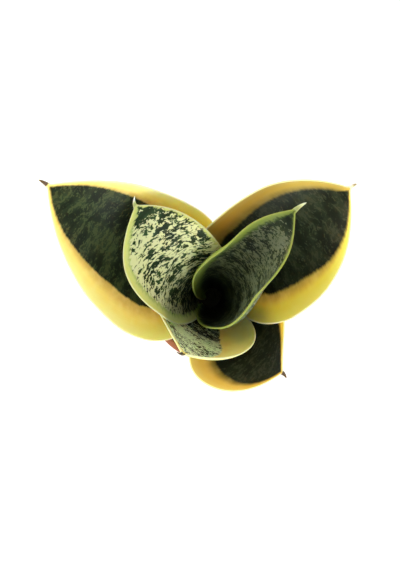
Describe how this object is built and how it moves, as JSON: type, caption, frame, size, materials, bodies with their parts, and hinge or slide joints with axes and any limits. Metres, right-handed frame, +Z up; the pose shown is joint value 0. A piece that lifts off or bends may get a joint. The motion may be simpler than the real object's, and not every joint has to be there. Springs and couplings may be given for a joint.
{
  "type": "potted snake plant",
  "caption": "Dwarf rosette snake plant with broad scooped leaves, yellow margins and silver mottling, in a small plain clay pot.",
  "frame": {"origin": "centre of the pot's underside", "axes": "+Z up, +X to the right and +Y away from the low front leaf, as seen from straight above"},
  "size_m": [0.1562, 0.11, 0.1508],
  "materials": {
    "clay": "unglazed, matt",
    "soil": "loose, damp, matt",
    "rhizome": "matt, fleshy",
    "leaf_dark": "satin, waxy",
    "leaf_silver": "satin, waxy"
  },
  "bodies": {
    "root": {"pot": "clay", "potting_soil": "soil", "rhizome": "rhizome", "leaf_1_heart": "leaf_dark", "leaf_2_blunt": "leaf_silver", "leaf_3_scoop": "leaf_dark", "leaf_4_right": "leaf_dark", "leaf_5_left": "leaf_dark", "leaf_6_low": "leaf_dark"}
  },
  "joints": []
}
